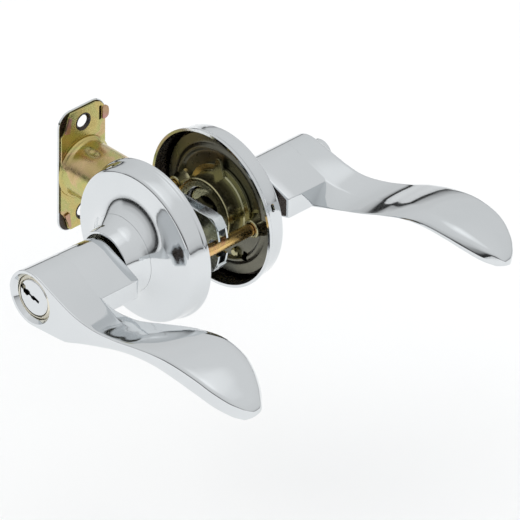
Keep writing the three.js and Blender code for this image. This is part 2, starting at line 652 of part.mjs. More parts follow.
// Face slot and the key channel behind it. It opens on the plug's -X side.
function keyPlug() {
  const head = turned([
    [0, EXT_FACE - 1.6], [PLUG_HEAD_R - 0.5, EXT_FACE - 1.6], [PLUG_HEAD_R, EXT_FACE - 2.1],
    [PLUG_HEAD_R, EXT_FACE - 3.9], [PLUG_R, EXT_FACE - 3.9], [PLUG_R, CYLINDER_REAR - 0.4],
    [0, CYLINDER_REAR - 0.4],
  ], EXT, FINE);
  const outline = new THREE.Shape([
    new THREE.Vector2(-9.0, -0.2), new THREE.Vector2(-5.2, -0.2), new THREE.Vector2(-4.4, -1.5),
    new THREE.Vector2(-2.4, -1.5), new THREE.Vector2(-1.6, -0.3), new THREE.Vector2(2.6, -0.3),
    new THREE.Vector2(2.6, 0.9), new THREE.Vector2(-2.2, 0.9), new THREE.Vector2(-3.0, -0.2),
    new THREE.Vector2(-4.0, -0.2), new THREE.Vector2(-4.8, 1.1), new THREE.Vector2(-9.0, 1.1),
  ]);
  let plug = head.subtract(plateY(outline, -EXT_FACE - 1, -57.4));
  for (const v of PIN_V) plug = plug.subtract(pinBore(v, 0.4, PLUG_R + 2));
  return plug;
}

function tailpiece() {
  const foot = rodY(3.6, -CYLINDER_REAR + 0.7, -CYLINDER_REAR + 2.0);
  const blade = box(-2.4, 2.4, -CYLINDER_REAR + 1.2, -26.0, -0.8, 0.8);
  return foot.add(blade);
}

function buildExterior() {
  addPart('exterior_lever', 'chrome', exteriorLeverSolid(), exterior);
  addPart('exterior_drive_sleeve', 'zinc_yellow', driveSleeve(EXT), exterior);
  const cylinder = new THREE.Group();
  cylinder.rotation.y = THREE.MathUtils.degToRad(KEYWAY_TILT);
  exterior.add(cylinder);
  addPart('cylinder_body', 'brass', cylinderBody(), cylinder);
  const capX = BIBLE_REACH - 0.7;
  const cap = box(capX, capX + 0.6, -EXT_FACE + 6.6, -60.4, -3.2, 3.2);
  addPart('pin_chamber_cap', 'brass', cap, cylinder);
  addPart('key_plug', 'chrome', keyPlug(), cylinder);
  addPart('tailpiece', 'zinc_silver', tailpiece(), cylinder);
  PIN_V.forEach((v, i) => {
    const driver = rodX(PIN_R, SHEAR + 0.2, SHEAR + 4.6, -v, 0, 16);
    addPart(`driver_pin_${i + 1}`, 'brass', driver, cylinder);
    const keyPin = rodX(PIN_R, SHEAR - 0.2 - KEY_PIN_LENGTH[i], SHEAR - 0.2, -v, 0, 16);
    addPart(`key_pin_${i + 1}`, 'brass', keyPin, cylinder);
  });
}

buildExterior();

// ---- interior lever, spindle, latch cam, turn button ----
function spindle() {
  const outer = box(-SPINDLE_HALF, SPINDLE_HALF, -20.0, 46.0, -SPINDLE_HALF, SPINDLE_HALF);
  return outer.subtract(rodY(3.0, -21, 47, 0, 0, 24));
}

function latchCam() {
  const hub = rodY(CAM_R, -3.9, 3.9, 0, 0, 40);
  const finger = new THREE.Shape();
  finger.moveTo(-1.6, 0);
  finger.lineTo(1.6, 0);
  finger.lineTo(CAM_TIP_ROUND, CAM_TIP_R);
  finger.absarc(0, CAM_TIP_R, CAM_TIP_ROUND, 0, Math.PI, false);
  const arm = plateY(finger, -1.5, -0.05).rotate([0, -LEVER_TURN / 2, 0]);
  const square = SPINDLE_HALF + 0.15;
  return hub.add(arm).subtract(box(-square, square, -6, 6, -square, square));
}

function turnButton() {
  const knob = turned([
    [0, 70.5], [BUTTON_R, 70.5], [BUTTON_R, 78.4], [BUTTON_R - 0.5, 79.2], [BUTTON_R - 1.6, 79.6],
    [0, 79.6],
  ], INT, FINE);
  return knob.subtract(box(-5.2, 5.2, 77.8, 81, -0.8, 0.8));
}

function lockShaft() {
  return rodY(1.9, -23.0, 70.2).add(rodY(2.8, 67.8, 70.2));
}

addPart('interior_lever', 'chrome', interiorLeverSolid());
addPart('interior_drive_sleeve', 'zinc_yellow', driveSleeve(INT));
addPart('spindle', 'zinc_olive', spindle());
addPart('latch_cam', 'zinc_silver', latchCam());
addPart('turn_button', 'chrome', turnButton());
addPart('lock_shaft', 'zinc_silver', lockShaft());

export default object;
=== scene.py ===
import json
import math

import bmesh
import bpy
from mathutils import Matrix, Vector


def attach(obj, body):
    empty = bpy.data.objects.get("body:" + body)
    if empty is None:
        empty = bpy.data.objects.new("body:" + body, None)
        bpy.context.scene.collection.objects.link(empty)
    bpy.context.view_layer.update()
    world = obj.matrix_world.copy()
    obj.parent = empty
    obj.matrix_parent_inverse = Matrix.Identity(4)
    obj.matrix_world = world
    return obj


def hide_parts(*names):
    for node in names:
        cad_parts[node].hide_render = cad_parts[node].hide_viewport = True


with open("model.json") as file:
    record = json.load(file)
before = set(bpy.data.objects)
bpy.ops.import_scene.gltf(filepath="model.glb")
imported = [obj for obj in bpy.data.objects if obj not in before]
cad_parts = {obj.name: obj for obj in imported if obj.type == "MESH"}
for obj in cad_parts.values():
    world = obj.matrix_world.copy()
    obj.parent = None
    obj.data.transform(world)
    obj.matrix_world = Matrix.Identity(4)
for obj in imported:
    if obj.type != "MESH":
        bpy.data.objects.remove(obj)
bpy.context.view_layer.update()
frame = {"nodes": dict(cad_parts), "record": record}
NODES = frame["nodes"]
MM = 0.001
EXT, INT = -1, 1

# ---- dimensions, in millimetres and degrees, as in the CAD ----
# A distance called v runs outwards from the middle of the door, on either side of it.
BACKSET = 60.3          # from the spindle to the faceplate's outer face
THROW = 11.0            # how far the bolt stands out of the faceplate
DOOR_FACE = 16.4        # v of the door's face, where the roses' rims rest
PLATE_V = 21.4          # v of the mounting plates' flat
POST_X, POST_R = 22.5, 2.6
DROOP = 4.4             # how far the exterior lever hangs below level
KEYWAY_TILT = 14.6      # how far the cylinder is turned in that lever
EXT_FACE, INT_FACE = 83.2, 73.6
SHIFT, SHORTER = 4.0, 5.6   # the interior lever stands nearer the door, and its end is cut shorter
SLEEVE_BORE = 9.95      # radius of the bore in each hub that takes the drive sleeve


# ---- materials ----
GRAIN_DEPTH = 0.00004   # metres


def new_material(name):
    """A new material, its node tree and its Principled shader."""
    mat = bpy.data.materials.new(name)
    mat.use_nodes = True
    nt = mat.node_tree
    shader = next(n for n in nt.nodes if n.type == "BSDF_PRINCIPLED")
    return mat, nt, shader


def noise(nt, scale, detail, stretch=(1, 1, 1), distortion=0.0):
    coords = nt.nodes.new("ShaderNodeTexCoord")
    mapping = nt.nodes.new("ShaderNodeMapping")
    mapping.inputs["Scale"].default_value = stretch
    tex = nt.nodes.new("ShaderNodeTexNoise")
    tex.inputs["Scale"].default_value = scale
    tex.inputs["Detail"].default_value = detail
    tex.inputs["Distortion"].default_value = distortion
    nt.links.new(coords.outputs["Object"], mapping.inputs["Vector"])
    nt.links.new(mapping.outputs["Vector"], tex.inputs["Vector"])
    return tex


def ramp(nt, source, stops):
    node = nt.nodes.new("ShaderNodeValToRGB")
    els = node.color_ramp.elements
    while len(els) < len(stops):
        els.new(0.5)
    for el, (pos, colour) in zip(els, stops):
        el.position = pos
        el.color = (*colour, 1.0)
    nt.links.new(source.outputs["Fac"], node.inputs["Fac"])
    return node


def spread(nt, source, low, high):
    """Maps the middle of a noise's range to low..high."""
    node = nt.nodes.new("ShaderNodeMapRange")
    node.inputs["From Min"].default_value = 0.3
    node.inputs["From Max"].default_value = 0.7
    node.inputs["To Min"].default_value = low
    node.inputs["To Max"].default_value = high
    nt.links.new(source.outputs["Fac"], node.inputs["Value"])
    return node


def bump(nt, shader, source, strength, distance):
    node = nt.nodes.new("ShaderNodeBump")
    node.inputs["Strength"].default_value = strength
    node.inputs["Distance"].default_value = distance
    nt.links.new(source.outputs["Fac"], node.inputs["Height"])
    nt.links.new(node.outputs["Normal"], shader.inputs["Normal"])


def metal(name, stops, scale, rough, grain=900.0, strength=0.05, distortion=0.0,
          stretch=(1, 1, 1)):
    """A metal with a clouded tint, and a fine grain in its roughness and relief."""
    mat, nt, shader = new_material(name)
    shader.inputs["Metallic"].default_value = 1.0
    tint = ramp(nt, noise(nt, scale, 3.0, stretch, distortion), stops)
    nt.links.new(tint.outputs["Color"], shader.inputs["Base Color"])
    fine = noise(nt, grain, 3.0, stretch)
    nt.links.new(spread(nt, fine, *rough).outputs["Result"], shader.inputs["Roughness"])
    bump(nt, shader, fine, strength, GRAIN_DEPTH)
    return mat


CHROME = metal("polished_chrome", [
    (0.3, (0.69, 0.715, 0.73)), (0.7, (0.72, 0.74, 0.755))], 30, (0.045, 0.085), 1500, 0.01)
CHROME_SHELL = metal("drawn_chrome", [
    (0.3, (0.68, 0.705, 0.72)), (0.7, (0.715, 0.735, 0.75))], 24, (0.07, 0.12), 1200, 0.015)
YELLOW = metal("yellow_zinc", [
    (0.25, (0.46, 0.36, 0.12)), (0.42, (0.58, 0.47, 0.18)), (0.52, (0.48, 0.47, 0.18)),
    (0.60, (0.62, 0.45, 0.24)), (0.75, (0.41, 0.35, 0.12))], 55, (0.20, 0.32), 700, 0.05, 1.2)
GOLD_POST = metal("gold_zinc", [
    (0.3, (0.66, 0.40, 0.12)), (0.5, (0.80, 0.56, 0.22)), (0.7, (0.70, 0.36, 0.20))],
    90, (0.2, 0.32), 800, 0.05, 1.0)
PINK = metal("pink_zinc", [
    (0.35, (0.50, 0.34, 0.19)), (0.6, (0.55, 0.30, 0.26))], 120, (0.28, 0.4), 800, 0.05, 1.0)
OLIVE = metal("olive_zinc", [
    (0.3, (0.125, 0.123, 0.10)), (0.5, (0.17, 0.165, 0.13)), (0.7, (0.135, 0.15, 0.135))],
    22, (0.26, 0.36), 700, 0.03, 0.6)
OLIVE_LIGHT = metal("olive_zinc_light", [
    (0.3, (0.33, 0.31, 0.18)), (0.5, (0.42, 0.39, 0.23)), (0.7, (0.31, 0.32, 0.22))],
    36, (0.18, 0.28), 700, 0.03, 0.6)
# Near black, used as painted shade: thin sheets and rings set in hollows, holes and gaps where shade
# falls.
PAINTED_SHADE = metal("painted_shade_black", [
    (0.3, (0.030, 0.026, 0.024)), (0.5, (0.065, 0.052, 0.045)), (0.7, (0.045, 0.045, 0.05))],
    60, (0.22, 0.34), 700, 0.05, 1.0)
SILVER = metal("clear_zinc", [
    (0.3, (0.62, 0.66, 0.68)), (0.5, (0.74, 0.77, 0.78)), (0.7, (0.56, 0.62, 0.64))],
    60, (0.16, 0.28), 800, 0.05, 0.6)
BRASS = metal("machined_brass", [
    (0.35, (0.74, 0.69, 0.57)), (0.65, (0.84, 0.80, 0.69))], 80, (0.14, 0.24), 900, 0.04, 0.0,
    (1, 0.2, 1))
STEEL = metal("spring_wire", [
    (0.35, (0.34, 0.35, 0.37)), (0.65, (0.48, 0.49, 0.50))], 90, (0.22, 0.34), 900, 0.05)
SLOT_MATERIAL = {"chrome": CHROME, "zinc_yellow": YELLOW, "zinc_olive": OLIVE, "zinc_silver": SILVER,
                 "brass": BRASS, "spring_steel": STEEL}


# ---- mesh helpers ----
SHARP = 32.0            # an edge that turns more than this many degrees is drawn sharp
ROUNDED_FROM = 34.0     # a bevel rounds edges that turn more than this
WELD = 1e-7             # metres


def turned_point(x, y, z, degrees):
    """The point turned about the spindle's axis; a positive angle lowers +X."""
    a = math.radians(degrees)
    return (x * math.cos(a) + z * math.sin(a), y, -x * math.sin(a) + z * math.cos(a))


def to_mesh(name, verts, faces, turn):
    mesh = bpy.data.meshes.new(name)
    mesh.from_pydata([[c * MM for c in turned_point(*v, turn)] for v in verts], [], faces)
    return mesh


def add(name, verts, faces, body, mat, nodes=(), slot="chrome", turn=0.0, sharp=SHARP, bevel=0.0,
        segments=2):
    """Makes a piece that rides on body and stands in for the CAD nodes."""
    mesh = to_mesh(name, verts, faces, turn)
    bm = bmesh.new()
    bm.from_mesh(mesh)
    bmesh.ops.remove_doubles(bm, verts=bm.verts, dist=WELD)
    bmesh.ops.recalc_face_normals(bm, faces=bm.faces)
    shade(bm, sharp)
    bm.to_mesh(mesh)
    bm.free()
    mesh.materials.append(mat)
    obj = bpy.data.objects.new(name, mesh)
    bpy.context.scene.collection.objects.link(obj)
    if bevel:
        round_edges(obj, bevel, segments)
    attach(obj, body)
    if nodes:
        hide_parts(*nodes)
    return obj


def shade(bm, sharp):
    """Smooth faces, with every edge over the sharp angle split."""
    limit = math.radians(sharp)
    for face in bm.faces:
        face.smooth = True
    for edge in bm.edges:
        edge.smooth = len(edge.link_faces) == 2 and edge.calc_face_angle(0.0) < limit


def round_edges(obj, width, segments=2):
    mod = obj.modifiers.new("rounding", "BEVEL")
    mod.width = width * MM
    mod.segments = segments
    mod.limit_method = "ANGLE"
    mod.angle_limit = math.radians(ROUNDED_FROM)
    mod.harden_normals = True


def bake(obj, sharp):
    """Applies the modifiers of obj to its mesh."""
    bpy.context.view_layer.update()
    graph = bpy.context.evaluated_depsgraph_get()
    mesh = bpy.data.meshes.new_from_object(obj.evaluated_get(graph))
    obj.modifiers.clear()
    obj.data = mesh
    bm = bmesh.new()
    bm.from_mesh(mesh)
    bmesh.ops.dissolve_degenerate(bm, edges=bm.edges, dist=WELD)
    shade(bm, sharp)
    bm.to_mesh(mesh)
    bm.free()


def cut(obj, cutters, turn=0.0, sharp=SHARP):
    """Subtracts each (verts, faces), turned as add does it, from obj."""
    for verts, faces in cutters:
        mesh = to_mesh("cutter", verts, faces, turn)
        bm = bmesh.new()
        bm.from_mesh(mesh)
        bmesh.ops.recalc_face_normals(bm, faces=bm.faces)
        bm.to_mesh(mesh)
        bm.free()
        tool = bpy.data.objects.new("cutter", mesh)
        bpy.context.scene.collection.objects.link(tool)
        mod = obj.modifiers.new("cut", "BOOLEAN")
        mod.operation = "DIFFERENCE"
        mod.solver = "EXACT"
        mod.object = tool
        bake(obj, sharp)
        bpy.data.objects.remove(tool)
        bpy.data.meshes.remove(mesh)


MOST_OF_SIDE = 0.46     # the share of a side that one rounded corner may take


def corners(points, radii, steps=6, closed=True):
    """A polygon with its corners rounded; every corner gives steps + 1 points."""
    out = []
    count = len(points)
    for i, (px, py) in enumerate(points):
        r = radii[i] if hasattr(radii, "__len__") else radii
        at_end = not closed and i in (0, count - 1)
        if at_end or r <= 0:
            out.append((px, py))
            continue
        ax, ay = points[i - 1]
        bx, by = points[(i + 1) % count]
        la = math.hypot(ax - px, ay - py) or 1e-9
        lb = math.hypot(bx - px, by - py) or 1e-9
        d = min(r, MOST_OF_SIDE * la, MOST_OF_SIDE * lb)
        sx, sy = px + (ax - px) / la * d, py + (ay - py) / la * d
        ex, ey = px + (bx - px) / lb * d, py + (by - py) / lb * d
        for k in range(steps + 1):
            t = k / steps
            u = 1 - t
            out.append((u * u * sx + 2 * u * t * px + t * t * ex,
                        u * u * sy + 2 * u * t * py + t * t * ey))
    return out


def spline(points, per=6):
    """Catmull-Rom curve through open 2D points."""
    out = []
    n = len(points)
    for i in range(n - 1):
        p0, p1, p2, p3 = points[max(i - 1, 0)], points[i], points[i + 1], points[min(i + 2, n - 1)]
        for k in range(per):
            t = k / per
            out.append(tuple(
                0.5 * (2 * b + (c - a) * t + (2 * a - 5 * b + 4 * c - d) * t * t
                       + (3 * b - a - 3 * c + d) * t ** 3)
                for a, b, c, d in zip(p0, p1, p2, p3)))
    out.append(points[-1])
    return out


def spin(profile, side=1, steps=128, x=0.0, z=0.0, along="y"):
    """Turns a closed (radius, distance) profile about Y or X; points on the axis become poles."""
    verts, faces, rows = [], [], []
    for r, v in profile:
        if r < 1e-6:
            rows.append([len(verts)])
            verts.append((x, side * v, z))
            continue
        row = []
        for k in range(steps):
            a = 2 * math.pi * k / steps
            row.append(len(verts))
            verts.append((x + r * math.cos(a), side * v, z + r * math.sin(a)))
        rows.append(row)
    count = len(rows)
    poles = len(rows[0]) == 1
    for i in range(count - 1 if poles else count):
        a, b = rows[i], rows[(i + 1) % count]
        for k in range(steps):
            m = (k + 1) % steps
            if len(a) == 1:
                faces.append((a[0], b[m], b[k]))
            elif len(b) == 1:
                faces.append((a[k], a[m], b[0]))
            else:
                faces.append((a[k], a[m], b[m], b[k]))
    if along == "x":
        verts = [(vy, vx, vz) for vx, vy, vz in verts]
    return verts, faces


def prism(outline, lo, hi, along="y"):
    """A straight prism: outline in (x, z) along Y, or in (y, z) along X."""
    n = len(outline)
    if along == "y":
        verts = [(p, lo, q) for p, q in outline] + [(p, hi, q) for p, q in outline]
    else:
        verts = [(lo, p, q) for p, q in outline] + [(hi, p, q) for p, q in outline]
    faces = [tuple(range(n)), tuple(range(2 * n - 1, n - 1, -1))]
    faces += [(i, (i + 1) % n, n + (i + 1) % n, n + i) for i in range(n)]
    return verts, faces


def disc(r, steps=48, cx=0.0, cz=0.0):
    angles = [2 * math.pi * k / steps for k in range(steps)]
    return [(cx + r * math.cos(a), cz + r * math.sin(a)) for a in angles]


def rect(x0, x1, z0, z1):
    return [(x0, z0), (x1, z0), (x1, z1), (x0, z1)]


def joined(*shapes):
    """Several (verts, faces) as one."""
    verts, faces = [], []
    for v, f in shapes:
        base = len(verts)
        verts += v
        faces += [tuple(i + base for i in face) for face in f]
    return verts, faces


def loft(rings):
    """A solid through rings of equal length, closed at both ends."""
    n = len(rings[0])
    verts = [p for ring in rings for p in ring]
    faces = []
    for i in range(len(rings) - 1):
        for k in range(n):
            m = (k + 1) % n
            faces.append((i * n + k, i * n + m, (i + 1) * n + m, (i + 1) * n + k))
    faces.append(tuple(range(n)))
    faces.append(tuple(range((len(rings) - 1) * n, len(rings) * n))[::-1])
    return verts, faces


# ---- camera, floor and light ----
AZ, EL, ROLL = math.radians(45.987), math.radians(33.088), math.radians(0.706)
DISTANCE = 5.305                        # metres, from the origin along the view
LOOK = (31.906 * MM, -15.013 * MM)      # middle of the picture, to the right and up from the origin
PX_PER_M = 2465.2                       # scale at the origin, in a picture IMAGE_WIDTH wide
IMAGE_WIDTH = 520.0
SENSOR = 36.0                           # millimetres


def set_camera():
    back = Vector((math.sin(AZ) * math.cos(EL), -math.cos(AZ) * math.cos(EL), math.sin(EL)))
    right0 = Vector((math.cos(AZ), math.sin(AZ), 0.0))
    up0 = back.cross(right0)
    c, s = math.cos(ROLL), math.sin(ROLL)
    right, up = c * right0 + s * up0, -s * right0 + c * up0
    place = right * LOOK[0] + up * LOOK[1] + back * DISTANCE
    data = bpy.data.cameras.new("camera")
    data.sensor_fit = "HORIZONTAL"
    data.sensor_width = SENSOR
    data.lens = PX_PER_M * DISTANCE * SENSOR / IMAGE_WIDTH
    data.clip_start = 0.1
    data.clip_end = 100.0
    cam = bpy.data.objects.new("camera", data)
    m = Matrix.Identity(4)
    for row in range(3):
        m[row][0], m[row][1], m[row][2], m[row][3] = right[row], up[row], back[row], place[row]
    cam.matrix_world = m
    bpy.context.scene.collection.objects.link(cam)
    bpy.context.scene.camera = cam


# (height, brightness) of the sky: TOP is shared, SKY is all round, FRONT is the exterior side and
# SHADED the side behind the latch. The height is the Z of the direction, from 0 to 1.
TOP = [(0.60, 0.79), (0.86, 0.82), (0.95, 1.0), (1.0, 1.15)]
SKY = [(0.0, 0.05), (0.015, 0.10), (0.045, 0.50), (0.12, 0.70), (0.30, 0.77)] + TOP
FRONT = [(0.0, 0.02), (0.08, 0.04), (0.18, 0.34), (0.34, 0.66)] + TOP
SHADED = [(0.0, 0.02), (0.035, 0.03), (0.075, 0.46), (0.14, 0.72)] + TOP
SECTORS = (("Y", -0.40, -0.70, FRONT), ("X", -0.73, -0.79, SHADED))
STRENGTH = 1.2
COOL = (0.985, 0.995, 1.0)


def sky_ramp(nt, source, stops):
    node = nt.nodes.new("ShaderNodeValToRGB")
    node.color_ramp.interpolation = "EASE"
    els = node.color_ramp.elements
    while len(els) < len(stops):
        els.new(0.5)
    for el, (pos, level) in zip(els, stops):
        el.position = pos
        part = level / STRENGTH
        el.color = (*(part * c for c in COOL), 1.0)
    nt.links.new(source, node.inputs["Fac"])
    return node


def set_world():
    world = bpy.data.worlds.new("studio")
    bpy.context.scene.world = world
    world.use_nodes = True
    nt = world.node_tree
    nt.nodes.clear()
    out = nt.nodes.new("ShaderNodeOutputWorld")
    back = nt.nodes.new("ShaderNodeBackground")
    back.inputs["Strength"].default_value = STRENGTH
    coords = nt.nodes.new("ShaderNodeTexCoord")
    split = nt.nodes.new("ShaderNodeSeparateXYZ")
    nt.links.new(coords.outputs["Generated"], split.inputs["Vector"])
    colour = sky_ramp(nt, split.outputs["Z"], SKY).outputs["Color"]
    for axis, start, full, stops in SECTORS:
        sector = nt.nodes.new("ShaderNodeMapRange")
        sector.inputs["From Min"].default_value = start
        sector.inputs["From Max"].default_value = full
        nt.links.new(split.outputs[axis], sector.inputs["Value"])
        mix = nt.nodes.new("ShaderNodeMixRGB")
        nt.links.new(sector.outputs["Result"], mix.inputs["Fac"])
        nt.links.new(colour, mix.inputs["Color1"])
        other = sky_ramp(nt, split.outputs["Z"], stops).outputs["Color"]
        nt.links.new(other, mix.inputs["Color2"])
        colour = mix.outputs["Color"]
    nt.links.new(colour, back.inputs["Color"])
    nt.links.new(back.outputs["Background"], out.inputs["Surface"])


def area(name, place, size, power):
    """A soft lamp aimed at the origin, which chrome doesn't mirror."""
    data = bpy.data.lights.new(name, "AREA")
    data.shape = "RECTANGLE"
    data.size, data.size_y = size
    data.energy = power
    lamp = bpy.data.objects.new(name, data)
    lamp.location = place
    lamp.visible_glossy = False
    lamp.rotation_euler = (-Vector(place)).to_track_quat("-Z", "Y").to_euler()
    bpy.context.scene.collection.objects.link(lamp)


FLOOR_Z, FLOOR_HALF = -0.13, 12.0       # metres
FLOOR_LEVEL = 0.93


def set_stage():
    mesh = bpy.data.meshes.new("floor")
    outline = rect(-FLOOR_HALF, FLOOR_HALF, -FLOOR_HALF, FLOOR_HALF)
    mesh.from_pydata([(x, y, FLOOR_Z) for x, y in outline], [], [(0, 1, 2, 3)])
    floor = bpy.data.objects.new("floor", mesh)
    mat, _, shader = new_material("pale_floor")
    shader.inputs["Base Color"].default_value = (FLOOR_LEVEL, FLOOR_LEVEL, FLOOR_LEVEL, 1.0)
    shader.inputs["Roughness"].default_value = 0.9
    shader.inputs["Specular IOR Level"].default_value = 0.1
    mesh.materials.append(mat)
    bpy.context.scene.collection.objects.link(floor)
    area("key", (-0.9, -1.1, 1.5), (1.7, 1.7), 10)
    area("fill", (1.6, -0.6, 1.1), (1.6, 1.6), 7)
    area("rim", (0.2, 1.6, 1.0), (1.7, 1.2), 7)


set_camera()
set_world()
set_stage()
bpy.context.scene.view_settings.view_transform = "Standard"


# ---- roses, bushings and mounting plates ----
SLOT_TURN = -22.3       # the interior rose's release slot lies this far above the lever's direction


def rose(side, word):
    """Drawn shell with a thin near-black sheet inside it as painted shade; the interior one has a small
    release slot.
    """
    face = spline([(33.55, 24.3), (33.2, 25.2), (32.4, 25.85), (31.2, 26.15), (28.4, 26.6),
                   (25.0, 27.35), (22.0, 28.5), (19.8, 29.85), (18.2, 31.3), (17.0, 32.7)], 5)
    rim = corners([(34.9, 17.3), (34.75, 17.9), (34.2, 18.5), (33.95, 21.0)], 0.3, 3, False)
    outer = [(34.9, DOOR_FACE), (34.9, 17.3)] + rim[1:]
    inner = [(15.9, 32.4), (17.3, 30.6), (19.2, 29.0), (21.6, 27.5), (24.8, 26.3), (28.2, 25.5),
             (31.0, 25.1), (32.1, 24.7), (32.5, 23.8), (33.7, 17.6), (33.7, DOOR_FACE)]
    verts, faces = spin(outer + face + inner, side, 180)
    obj = add(f"{word}_rose_shell", verts, faces, "door_set", CHROME_SHELL, (f"{word}_rose",))
    # The sheet just inside the shell's face and barrel is painted shade.
    skin = inner[3:-1] + [(33.7, 16.7)]
    shade_sheet = skin + [(r - 0.06, v - 0.04) for r, v in reversed(skin)]
    inside = add(f"{word}_rose_painted_shade", *spin(shade_sheet, side, 180), "door_set", PAINTED_SHADE, ())
    if side == INT:
        slot = corners(rect(20.3, 22.1, -1.7, 1.7), 0.8, 4)
        for shell in (obj, inside):
            cut(shell, [prism(slot, 28, 40, "x")], turn=SLOT_TURN)


def bushing(side, word):
    end = 42.6 if side == EXT else 38.8
    profile = [(12.3, 29.4), (15.5, 29.4), (15.5, 32.78)]
    profile += spline([(16.95, 32.78), (16.6, 33.25), (15.9, 34.2), (15.2, 35.3), (14.55, 36.5),
                       (14.15, 37.5)], 5)
    lip = [(14.15, 37.5), (14.05, 37.9), (13.3, end - 0.15), (12.9, end), (12.3, end)]
    profile += corners(lip, 0.25, 3, False)[1:]
    add(f"{word}_bushing", *spin(profile, side), "door_set", CHROME, (f"{word}_neck_bushing",))


def mounting_plate(side, word):
    """Pressed dish with a groove near its rim, two post eyelets, a window and a rivet."""
    v = PLATE_V
    under = spline([(31.0, v + 1.0), (27.2, v + 1.0), (26.2, v + 0.5), (25.4, v - 0.1), (24.8, v - 0.3),
                    (24.2, v - 0.1), (23.5, v + 0.9), (22.6, v + 1.5), (20.0, v + 1.6)], 5)
    top = [(12.0, 36.0), (12.0, v + 2.8), (22.6, v + 2.8), (24.0, v + 2.2), (24.8, v + 1.0),
           (25.6, v + 1.4), (26.6, v + 2.2), (31.0, v + 2.2)]
    profile = top + under + [(10.4, v + 1.6), (10.4, 36.0)]
    obj = add(f"{word}_plate", *spin(profile, side, 144), "door_set", OLIVE,
              (f"{word}_mounting_plate",), "zinc_olive")
    window = corners(rect(12.6, 16.4, -20.4, -17.4), 0.4, 3)
    holes = [disc(POST_R + 0.4, 32, -POST_X), disc(POST_R + 0.4, 32, POST_X), window]
    cut(obj, [prism(outline, side * v - 6, side * v + 6) for outline in holes])
    for i, x in enumerate((-POST_X, POST_X)):
        eyelet = [(POST_R + 0.35, v - 4.0), (3.6, v - 4.0), (4.0, v - 3.6), (4.15, v - 1.0),
                  (5.2, v + 1.0), (6.4, v + 1.58), (6.4, v + 1.9), (POST_R + 0.35, v + 1.9)]
        add(f"{word}_eyelet_{i + 1}", *spin(eyelet, side, 48, x), "door_set", OLIVE_LIGHT, (),
            "zinc_olive")
    rivet = [(0, v - 0.2), (1.3, v - 0.2), (1.9, v + 0.3), (2.0, v + 1.62), (0, v + 1.62)]
    add(f"{word}_rivet", *spin(rivet, side, 32, 8.6, -19.6), "door_set", OLIVE_LIGHT, (),
        "zinc_olive")


def cage(side, word):
    """Cup of the lever's return spring, with its rolled rim and stop tab."""
    v = PLATE_V
    profile = [(11.0, v - 8.8), (14.1, v - 8.8), (14.5, v - 8.4), (14.6, v - 8.0), (14.6, v - 0.6),
               (15.0, v), (15.6, v + 0.1), (17.6, v + 0.1), (17.6, v + 1.3), (13.4, v + 1.3),
               (13.4, v - 7.7), (11.0, v - 7.7)]
    add(f"{word}_cage", *spin(profile, side, 96), "door_set", OLIVE_LIGHT, (f"{word}_spring_cage",),
        "zinc_olive", bevel=0.12)
    rim = [(12.9, v - 9.05), (14.5, v - 9.05), (14.85, v - 8.5), (14.75, v - 7.9), (13.6, v - 8.7)]
    add(f"{word}_cage_rim", *spin(corners(rim, 0.3, 3), side, 96), "door_set", OLIVE_LIGHT, (),
        "zinc_olive")
    tab = corners([(-3.4, 13.9), (3.4, 13.9), (1.2, 21.4), (0.6, 21.9), (-0.6, 21.9), (-1.2, 21.4)],
                  [0, 0, 0.4, 0.3, 0.3, 0.4], 3)
    y0, y1 = sorted((side * (v - 1.2), side * v))
    add(f"{word}_cage_tab", *prism(tab, y0, y1), "door_set", OLIVE_LIGHT, (), "zinc_olive",
        bevel=0.15)


for side, word in ((EXT, "exterior"), (INT, "interior")):
    rose(side, word)
    bushing(side, word)
    mounting_plate(side, word)
    cage(side, word)


# ---- posts ----
def posts():
    for x, word in ((-POST_X, "latch_side"), (POST_X, "lever_side")):
        v = PLATE_V
        profile = corners([(1.75, -(v + 3.4)), (4.2, -(v + 3.8)), (4.2, -(v + 3.1)),
                           (POST_R, -(v + 3.1)), (POST_R, v - 0.2), (POST_R - 0.5, v + 0.4),
                           (1.75, v + 0.4)], 0.15, 2)
        add(f"post_{word}", *spin(profile, 1, 40, x), "door_set", GOLD_POST, (f"threaded_post_{word}",),
            "zinc_yellow")


posts()


# ---- latch ----
FACE_T = 0.9            # thickness of the faceplate and of its backing plate
BACK_X = -BACKSET + FACE_T + 0.1
TUBE_X0 = BACK_X + FACE_T + 0.1
TUBE_X1 = -27.0
TUBE_R, TUBE_BORE = 12.3, 11.3
HOLE_Z = 21.43          # the wood screws' holes, above and below the middle
OPENING = (12.8, 16.8, 1.0)     # the bolt's opening: width, height and corner radius
TAIL_HALF, TAIL_NECK = 12.6, 8.6    # half heights of the frame behind the tube, and inside it


def rounded_rect(w, h, r, steps=8):
    pts = []
    dx, dy = w / 2 - r, h / 2 - r
    for cx, cy, a0 in ((dx, -dy, -90), (dx, dy, 0), (-dx, dy, 90), (-dx, -dy, 180)):
        for k in range(steps + 1):
            a = math.radians(a0 + 90 * k / steps)
            pts.append((cx + r * math.cos(a), cy + r * math.sin(a)))
    return pts


def shifted(shape, dz):
    verts, faces = shape
    return [(x, y, z + dz) for x, y, z in verts], faces


def backing_outline():
    """Upright plate, narrower towards its ends, with unlike upper corners."""
    left = [(-12.0, 18.4), (-11.2, 19.4), (-9.9, 21.4), (-9.0, 24.0), (-8.4, 26.6), (-6.8, 28.0)]
    right = [(7.0, 28.0), (9.4, 27.2), (11.2, 25.2), (12.3, 22.6)]
    upper = left + right
    return upper + [(y, -z) for y, z in reversed(upper)]


